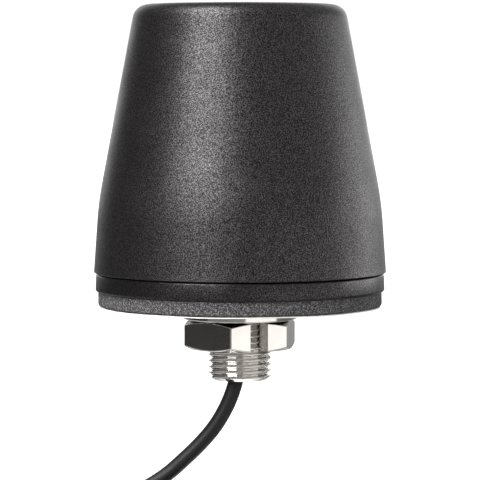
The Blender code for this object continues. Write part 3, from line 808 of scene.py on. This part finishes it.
def make_strap():
    """A hook-and-loop strap round the coil's section, with its end lapped over itself."""
    loop = strap_loop()
    middle = sum(loop, Vector((0.0, 0.0))) / len(loop)
    count = len(loop)
    points = []
    for i in range(count + TIE_LAP):
        place = loop[i % count]
        along = loop[(i + 1) % count] - loop[(i - 1) % count]
        out = Vector((along.y, -along.x)).normalized()
        if out.dot(place - middle) < 0:
            out = -out
        lap = smooth((i - count + 4) / 3) * TIE_LIFT
        points.append((place + out * lap, out))
    bm = bmesh.new()
    rows = []
    turn = Matrix.Rotation(math.radians(TIE_DEG), 4, "Z")
    section = [(-1.0, TIE_CORNER), (-0.94, 0.0), (0.94, 0.0), (1.0, TIE_CORNER)]
    section += [(side, TIE_THICK - depth) for side, depth in reversed(section)]
    for place, out in points:
        row = []
        for side, depth in section:
            r, z = place + out * depth
            where = turn @ Vector((r, side * TIE_HALF_WIDTH, z))
            where += Vector((*COIL_CENTRE, 0.0))
            row.append(bm.verts.new(where * MM))
        rows.append(row)
    join_rows(bm, rows)
    bmesh.ops.recalc_face_normals(bm, faces=bm.faces)
    mesh = mesh_from(bm, "strap")
    add_piece("coil_strap", mesh, "root", "strap_black", "coil_tie", sharp_deg=50)


def along_plug(mesh):
    """Turns a mesh made along +Z to lie along the plug."""
    place = Matrix.Translation(Vector(PLUG_START) * MM)
    mesh.transform(place @ Vector(PLUG_DIRECTION).to_track_quat("Z", "Y").to_matrix().to_4x4())
    return mesh


KNURL_RADIUS = 5.0
KNURL_DEPTH = 0.22
KNURL_COUNT = 24
PIN_PLACES = [polar(1.5, 45 + 90 * number) for number in range(4)]


def make_plug():
    """Outlines are read from the plug's mating end, which is the top, to the cable's end."""
    boot = [(0.0, 24.0), (2.85, 24.0), (3.0, 23.85), (3.0, 22.3), (3.6, 22.3), (3.6, 20.9)]
    boot += [(3.0, 20.9), (3.0, 19.0), (4.5, 19.0), *arc((4.45, 18.7), 0.3, 60, 0, 3)]
    boot += [(4.75, 15.8), (4.75, 13.2), *arc((4.45, 12.9), 0.3, 0, -60, 3)]
    for ring in range(4):
        z = 11.6 - 2.6 * ring
        radius = 4.55 - 0.32 * ring
        boot += [(radius - 0.55, z + 0.6), (radius - 0.62, z + 0.1), (radius - 0.55, z - 0.35)]
        boot += [(radius - 0.2, z - 0.6), (radius - 0.08, z - 0.9), (radius - 0.1, z - 1.4)]
    boot += [(2.95, 0.3), (2.6, 0.0), (0.0, 0.0)]

    body = along_plug(revolve("boot", boot, even_angles(64)))
    add_piece("plug_boot", body, "root", "plug_overmould", "plug_body", sharp_deg=40)

    ring = [
        (3.75, 32.0),
        *arc((3.85, 31.85), 0.15, 60, 0, 2),
        (4.0, 31.4), (4.0, 26.6), (4.2, 26.45), (4.85, 26.3), (KNURL_RADIUS, 26.1),
        *[(KNURL_RADIUS, 25.8 - 0.75 * i) for i in range(8)],
        (KNURL_RADIUS, 19.8), (4.85, 19.45), (4.6, 19.3), (3.4, 19.3), (3.4, 20.5),
        (3.95, 20.6), (3.95, 22.6), (3.45, 22.9), (3.45, 31.8), (3.6, 32.0),
    ]

    def knurl(angle, radius, z):
        if radius == KNURL_RADIUS and 20.2 < z < 25.9:
            radius -= KNURL_DEPTH * (0.5 - 0.5 * math.cos(KNURL_COUNT * angle))
        return radius, z

    turned = along_plug(revolve("ring", ring, even_angles(192), knurl))
    add_piece("plug_nut", turned, "ring", "nickel_plate", "plug_ring", sharp_deg=40)

    pins = bmesh.new()
    outline = [(0.0, 31.4), (0.2, 31.37), (0.36, 31.2), (0.45, 30.9), (0.45, 25.6), (0.0, 25.6)]
    for x, y in PIN_PLACES:
        pin = revolve("pin", outline, even_angles(20))
        pin.transform(Matrix.Translation(Vector((x, y, 0.0)) * MM))
        pins.from_mesh(pin)
    mesh = mesh_from(pins, "pins")
    nodes = [f"plug_pin_{number + 1}" for number in range(4)]
    add_piece("plug_pins", along_plug(mesh), "root", "gold_plate", *nodes)

    outline = [(0.0, 28.0), (2.9, 28.0), (3.05, 27.85), (3.05, 24.3), (0.0, 24.3)]
    face = revolve("face", outline, even_angles(48))
    steps = [("DIFFERENCE", rod(0.72, 25.2, 29.0, at, 16)) for at in PIN_PLACES]
    insert = along_plug(combined(face, steps))
    add_piece("plug_face", insert, "root", "plug_overmould", "plug_insert")


make_radome()
make_base()
make_foam()
make_film()
make_stud()
make_washer()
make_nut()
make_strap()
make_plug()


# Materials --------------------------------------------------------------------------------

def set_range(node, *limits):
    """Sets a Map Range node's From Min, From Max, To Min and To Max."""
    for name, value in zip(("From Min", "From Max", "To Min", "To Max"), limits):
        node.inputs[name].default_value = value


class Look:
    """A procedural material, with short calls for the nodes that all of them use."""

    def __init__(self, name, metallic=0.0, roughness=0.5):
        self.made = bpy.data.materials.new(name)
        self.made.use_nodes = True
        self.tree = self.made.node_tree
        self.shader = self.tree.nodes["Principled BSDF"]
        self.shader.inputs["Metallic"].default_value = metallic
        self.shader.inputs["Roughness"].default_value = roughness
        self.where = self.tree.nodes.new("ShaderNodeTexCoord").outputs["Object"]

    def node(self, kind, **inputs):
        """A new node whose inputs, by name, are given a value or another node's output."""
        made = self.tree.nodes.new(kind)
        for name, value in inputs.items():
            socket = made.inputs[name.replace("_", " ")]
            if isinstance(value, bpy.types.NodeSocket):
                self.tree.links.new(value, socket)
            else:
                socket.default_value = value
        return made

    def stretched(self, scale):
        """Object coordinates, scaled by axis to draw a pattern out."""
        made = self.node("ShaderNodeMapping", Vector=self.where)
        made.inputs["Scale"].default_value = scale
        return made.outputs["Vector"]

    def grain(self, size, detail=2.0, rough=0.5, where=None):
        """Noise whose spots are about size millimetres across."""
        made = self.node(
            "ShaderNodeTexNoise",
            Vector=where or self.where,
            Scale=1 / (size * MM),
            Detail=detail,
            Roughness=rough,
        )
        return made.outputs["Fac"]

    def spots(self, size):
        """Distance from the middle of cells that are about size millimetres across."""
        made = self.node("ShaderNodeTexVoronoi", Vector=self.where, Scale=1 / (size * MM))
        return made.outputs["Distance"]

    def spread(self, value, low, high, to_low, to_high):
        """The value, moved from one range into another."""
        made = self.node("ShaderNodeMapRange", Value=value)
        set_range(made, low, high, to_low, to_high)
        return made.outputs["Result"]

    def paint(self, factor, *stops):
        """Base colour by a factor. Each stop is a place on its scale and the colour there."""
        made = self.tree.nodes.new("ShaderNodeValToRGB")
        ramp = made.color_ramp
        while len(ramp.elements) < len(stops):
            ramp.elements.new(0.5)
        for element, (place, colour) in zip(ramp.elements, stops):
            element.position = place
            element.color = (*colour, 1.0)
        self.tree.links.new(factor, made.inputs["Fac"])
        self.put("Base Color", made.outputs["Color"])

    def put(self, name, socket):
        """Feeds one of the shader's own inputs."""
        self.tree.links.new(socket, self.shader.inputs[name])

    def bump(self, *layers):
        """Each layer is a height from 0 to 1 and its depth in millimetres."""
        normal = None
        for height, depth in layers:
            made = self.node("ShaderNodeBump", Height=height)
            made.inputs["Strength"].default_value = 1.0
            made.inputs["Distance"].default_value = depth * MM
            if normal:
                self.tree.links.new(normal, made.inputs["Normal"])
            normal = made.outputs["Normal"]
        self.put("Normal", normal)


PLASTIC_TINT = (1.0, 0.955, 0.97, 1.0)


def moulded(name, dark, light, roughness, grain_size, depth, sparkle=(0.15, 1.22)):
    """Spark-eroded plastic: every grain of the mould shines a little more or less."""
    look = Look(name, roughness=roughness)
    look.shader.inputs["Specular Tint"].default_value = PLASTIC_TINT
    grain = look.grain(grain_size, 0.8, 0.5)
    cloud = look.grain(9.0, 3.0)
    look.paint(grain, (0.36, dark), (0.70, light))
    look.put("Roughness", look.spread(cloud, 0.35, 0.65, roughness - 0.03, roughness + 0.03))
    look.put("Specular IOR Level", look.spread(grain, 0.45, 0.66, *sparkle))
    look.bump((grain, depth), (cloud, 0.02))
    return look.made


def plain_metal(name, colour, roughness, line=(1.0, 1.0, 14.0)):
    """Metal with faint marks, drawn out along the axes where line is small."""
    look = Look(name, 1.0, roughness)
    fine = look.grain(0.9, 3.0, 0.6, look.stretched(line))
    wide = look.grain(6.0, 2.0)
    darker = tuple(c * 0.86 for c in colour)
    look.paint(wide, (0.3, darker), (0.7, colour))
    look.put("Roughness", look.spread(fine, 0.3, 0.7, roughness * 0.75, roughness * 1.3))
    look.bump((fine, 0.004))
    return look.made


def nickel():
    """Polished plating over turned and milled brass, dull and a little warm in places."""
    look = Look("nickel_plate", 1.0, 0.1)
    turned = look.grain(1.2, 4.0, 0.65, look.stretched((1.0, 1.0, 22.0)))
    wide = look.grain(7.0, 2.0)
    look.paint(wide, (0.3, (0.66, 0.64, 0.61)), (0.7, (0.74, 0.72, 0.69)))
    look.put("Roughness", look.spread(turned, 0.3, 0.7, 0.06, 0.16))
    look.bump((turned, 0.0025))
    return look.made


def foam():
    """Closed-cell foam: pale skins, with painted shade darkening the hollows between them, where
    the bump also sets the surface lower.
    """
    look = Look("foam_grey", roughness=0.9)
    cell = look.grain(0.34, 2.0, 0.7)
    # Painted shade: the darkest stop stands in for the shade inside the cut cells.
    hollow_painted_shade = (0.018, 0.018, 0.019)
    middle = (0.062, 0.059, 0.061)
    skin = (0.232, 0.223, 0.228)
    look.paint(cell, (0.40, hollow_painted_shade), (0.52, middle), (0.66, skin))
    look.shader.inputs["Specular IOR Level"].default_value = 0.35
    look.bump((cell, 0.16))
    return look.made


def film():
    """White paper with a plastic coat."""
    look = Look("liner_white", roughness=0.45)
    fibre = look.grain(0.8, 4.0, 0.6)
    look.paint(fibre, (0.3, (0.80, 0.79, 0.76)), (0.7, (0.88, 0.88, 0.86)))
    look.bump((fibre, 0.01))
    return look.made


def jacket():
    """The cable's soft, matt jacket."""
    look = Look("cable_jacket", roughness=0.46)
    look.shader.inputs["Specular IOR Level"].default_value = 0.22
    fine = look.grain(0.35, 3.0, 0.6)
    wide = look.grain(14.0, 2.0)
    look.paint(wide, (0.3, (0.010, 0.010, 0.011)), (0.7, (0.017, 0.017, 0.018)))
    look.put("Roughness", look.spread(fine, 0.3, 0.7, 0.40, 0.54))
    look.bump((fine, 0.006), (wide, 0.05))
    return look.made


def strap():
    """Woven loops, with painted shade darkening the gaps between them."""
    look = Look("strap_black", roughness=0.95)
    loops = look.spots(0.45)
    # Painted shade: darker towards the edge of each cell, between the loops.
    look.paint(loops, (0.1, (0.035, 0.035, 0.037)), (0.6, (0.008, 0.008, 0.009)))
    look.shader.inputs["Sheen Weight"].default_value = 0.4
    look.bump((loops, 0.18))
    return look.made


def board():
    """Solder mask over glass weave."""
    look = Look("board_green", roughness=0.35)
    weave = look.grain(0.6, 2.0, 0.5, look.stretched((1.0, 5.0, 1.0)))
    look.paint(weave, (0.3, (0.012, 0.085, 0.035)), (0.7, (0.02, 0.14, 0.06)))
    look.bump((weave, 0.01))
    return look.made


def speckled(name, dark, light, roughness, size=0.5):
    """A plain material whose colour varies a little from spot to spot."""
    look = Look(name, roughness=roughness)
    grain = look.grain(size, 3.0)
    look.paint(grain, (0.35, dark), (0.65, light))
    look.bump((grain, 0.01))
    return look.made


LOOKS = {
    "radome_black": moulded(
        "radome_black", (0.0044, 0.0039, 0.0041), (0.0088, 0.0080, 0.0083), 0.40, 0.23, 0.020
    ),
    "base_black": moulded(
        "base_black", (0.0042, 0.0038, 0.0039), (0.0083, 0.0077, 0.0079), 0.32, 0.23, 0.015,
        (0.15, 0.95),
    ),
    "foam_grey": foam(),
    "liner_white": film(),
    "nickel_plate": nickel(),
    "brass": plain_metal("brass", (0.62, 0.45, 0.20), 0.3),
    "gold_plate": plain_metal("gold_plate", (0.90, 0.66, 0.28), 0.2),
    "zinc_steel": plain_metal("zinc_steel", (0.58, 0.59, 0.61), 0.32),
    "tinned_sheet": plain_metal("tinned_sheet", (0.62, 0.63, 0.64), 0.35, (14.0, 1.0, 1.0)),
    "aluminium": plain_metal("aluminium", (0.72, 0.72, 0.74), 0.38),
    "silver_paint": plain_metal("silver_paint", (0.78, 0.76, 0.70), 0.4, (1.0, 1.0, 1.0)),
    "black_rubber": speckled("black_rubber", (0.010, 0.010, 0.010), (0.018, 0.018, 0.018), 0.7),
    "cable_jacket": jacket(),
    "plug_overmould": moulded(
        "plug_overmould", (0.010, 0.010, 0.011), (0.020, 0.020, 0.021), 0.5, 0.3, 0.03, (0.4, 0.7)
    ),
    "board_green": board(),
    "chip_black": speckled("chip_black", (0.014, 0.014, 0.014), (0.026, 0.026, 0.026), 0.5, 0.3),
    "ceramic": speckled("ceramic", (0.66, 0.56, 0.40), (0.74, 0.64, 0.48), 0.55, 0.4),
    "white_nylon": speckled("white_nylon", (0.74, 0.73, 0.68), (0.80, 0.79, 0.75), 0.45, 1.5),
    "strap_black": strap(),
    "wire_red": speckled("wire_red", (0.42, 0.015, 0.015), (0.52, 0.025, 0.02), 0.4),
    "wire_black": speckled("wire_black", (0.014, 0.014, 0.014), (0.024, 0.024, 0.024), 0.4),
    "wire_yellow": speckled("wire_yellow", (0.56, 0.42, 0.03), (0.64, 0.49, 0.04), 0.4),
    "wire_green": speckled("wire_green", (0.02, 0.26, 0.05), (0.03, 0.32, 0.07), 0.4),
}


def dress():
    """Gives each CAD node and each piece the material of its slot."""
    for row in frame["record"]["subparts"]:
        node = frame["nodes"][row["node"]]
        node.data.materials.clear()
        node.data.materials.append(LOOKS[row["material_slot"]])
        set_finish(node, row["material_slot"])
    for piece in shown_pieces():
        if "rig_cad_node" not in piece:
            piece.data.materials.clear()
            piece.data.materials.append(LOOKS[piece["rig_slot"]])


dress()


# Studio -----------------------------------------------------------------------------------

def toward(azimuth, elevation, distance):
    """A place around the object. Azimuth 0 is the front, and 90 the right-hand side."""
    a = math.radians(azimuth)
    e = math.radians(elevation)
    return Vector((math.sin(a) * math.cos(e), -math.cos(a) * math.cos(e), math.sin(e))) * distance


# Studio lengths are in metres.
CENTRE = Vector((0.0, 0.0, 0.03))
CARD_RADIUS = 0.45
APRON_RADIUS = 0.30
CARD_LOW = -0.062
CARD_COLOUR = (1.0, 0.99, 0.97, 1.0)
SIDE_LIGHT = (0.09, 0.72)    # what the world gives from the left and from the right
BACKDROP = 2.2
WORLD_WHITE = 1.3
FLOOR_RADIUS = 6.0
FLOOR_WHITE = 1.2
# The floor's painted glow, a pool of light under the object that lights it from below:
FLOOR_GLOW = (1.6, 0.18)     # right under the object, and a hand's width away
GLOW_REACH = (0.022, 0.06)   # where the first ends and the second begins


def softbox(name, azimuth, elevation, distance, width, height, brightness):
    """An area light that faces the object."""
    data = bpy.data.lights.new(name, "AREA")
    data.shape = "RECTANGLE"
    data.size = width
    data.size_y = height
    data.energy = brightness * math.pi * width * height
    light = new_object(name, data)
    direction = toward(azimuth, elevation, distance)
    light.location = CENTRE + direction
    light.rotation_mode = "QUATERNION"
    light.rotation_quaternion = (-direction).to_track_quat("-Z", "Y")


def card(name, start, end, brightness, z_high, radius=CARD_RADIUS, apron=APRON_RADIUS):
    """A curved card with an apron on the floor, seen by reflections only."""
    steps = 24
    bm = bmesh.new()
    columns = []
    for i in range(steps + 1):
        azimuth = start + (end - start) * i / steps
        column = []
        for reach, z in ((apron, CARD_LOW), (radius, CARD_LOW), (radius, z_high)):
            spot = toward(azimuth, 0.0, reach)
            column.append(bm.verts.new((spot.x, spot.y, z)))
        columns.append(column)
    for a, b in zip(columns, columns[1:]):
        for low in (0, 1):
            bm.faces.new((a[low], b[low], b[low + 1], a[low + 1]))
    mesh = mesh_from(bm, name)
    made = bpy.data.materials.new(name)
    made.use_nodes = True
    tree = made.node_tree
    tree.nodes.clear()
    glow = tree.nodes.new("ShaderNodeEmission")
    glow.inputs["Color"].default_value = CARD_COLOUR
    glow.inputs["Strength"].default_value = brightness
    out = tree.nodes.new("ShaderNodeOutputMaterial")
    tree.links.new(glow.outputs["Emission"], out.inputs["Surface"])
    mesh.materials.append(made)
    piece = new_object(name, mesh)
    piece.visible_camera = False
    piece.visible_diffuse = False
    piece.visible_shadow = False


def make_floor():
    """White to the camera, grey to everything that reflects it, apart from a painted glow, a pool
    of light round the spot right under the object.
    """
    bm = bmesh.new()
    bmesh.ops.create_circle(bm, cap_ends=True, segments=96, radius=FLOOR_RADIUS)
    mesh = mesh_from(bm, "floor")
    look = Look("floor", roughness=0.8)
    tone = look.grain(400.0, 2.0)
    look.paint(tone, (0.3, (0.20, 0.20, 0.20)), (0.7, (0.22, 0.22, 0.22)))
    look.shader.inputs["Specular IOR Level"].default_value = 0.2
    look.shader.inputs["Emission Color"].default_value = (1.0, 1.0, 1.0, 1.0)
    away = look.tree.nodes.new("ShaderNodeVectorMath")
    away.operation = "LENGTH"
    look.tree.links.new(look.where, away.inputs[0])
    # Painted glow: the floor gives off light right under the object, and faintly further out.
    glow = look.spread(away.outputs["Value"], *GLOW_REACH, *FLOOR_GLOW)
    rays = look.tree.nodes.new("ShaderNodeLightPath")
    seen = look.tree.nodes.new("ShaderNodeMath")
    seen.operation = "MAXIMUM"
    white = look.spread(rays.outputs["Is Camera Ray"], 0.0, 1.0, 0.0, FLOOR_WHITE)
    look.tree.links.new(white, seen.inputs[0])
    look.tree.links.new(glow, seen.inputs[1])
    look.put("Emission Strength", seen.outputs["Value"])
    mesh.materials.append(look.made)
    floor = new_object("floor", mesh)
    floor.location.z = SURFACE_Z * MM


def make_world():
    """White to the camera. To the object it is dim on the left, brighter on the right, and
    white straight behind."""
    world = bpy.data.worlds.new("studio")
    world.use_nodes = True
    tree = world.node_tree
    tree.nodes.clear()

    def ramp(value, *limits):
        """The value, moved smoothly from one range into another."""
        made = tree.nodes.new("ShaderNodeMapRange")
        made.interpolation_type = "SMOOTHSTEP"
        set_range(made, *limits)
        tree.links.new(value, made.inputs["Value"])
        return made.outputs["Result"]

    rays = tree.nodes.new("ShaderNodeLightPath")
    coords = tree.nodes.new("ShaderNodeTexCoord")
    axes = tree.nodes.new("ShaderNodeSeparateXYZ")
    tree.links.new(coords.outputs["Generated"], axes.inputs["Vector"])
    side = ramp(axes.outputs["X"], -0.5, 1.0, *SIDE_LIGHT)
    behind = ramp(axes.outputs["Y"], 0.70, 0.98, 0.0, BACKDROP)
    total = tree.nodes.new("ShaderNodeMath")
    total.operation = "ADD"
    tree.links.new(side, total.inputs[0])
    tree.links.new(behind, total.inputs[1])
    dim = tree.nodes.new("ShaderNodeBackground")
    tree.links.new(total.outputs["Value"], dim.inputs["Strength"])
    white = tree.nodes.new("ShaderNodeBackground")
    white.inputs["Strength"].default_value = WORLD_WHITE
    mix = tree.nodes.new("ShaderNodeMixShader")
    tree.links.new(rays.outputs["Is Camera Ray"], mix.inputs["Fac"])
    tree.links.new(dim.outputs["Background"], mix.inputs[1])
    tree.links.new(white.outputs["Background"], mix.inputs[2])
    out = tree.nodes.new("ShaderNodeOutputWorld")
    tree.links.new(mix.outputs["Shader"], out.inputs["Surface"])
    bpy.context.scene.world = world


bpy.context.scene.view_settings.view_transform = "Standard"
make_floor()
make_world()
# Azimuth, elevation, distance, width, height and brightness.
softbox("key", -34.0, 27.0, 0.95, 0.60, 0.52, 10.5)
softbox("right", 110.0, -4.0, 1.0, 0.90, 0.50, 4.0)
softbox("top", -50.0, 58.0, 1.1, 0.6, 0.6, 13.6)
# What the polished metal sees around itself, from one azimuth to another, with the card's
# brightness and upper edge.
card("card_left", -150.0, -68.0, 0.045, 0.0)
card("card_key", -68.0, -25.0, 0.25, 0.0)
card("card_front", -25.0, 11.0, 0.30, 0.0)
card("card_white", 11.0, 78.0, 1.47, 0.04)
card("card_right", 78.0, 100.0, 0.30, 0.0)
card("card_behind", 100.0, 210.0, 0.33, 0.0)
card("card_low", 78.0, 128.0, 0.16, 0.002, 0.10, 0.09)
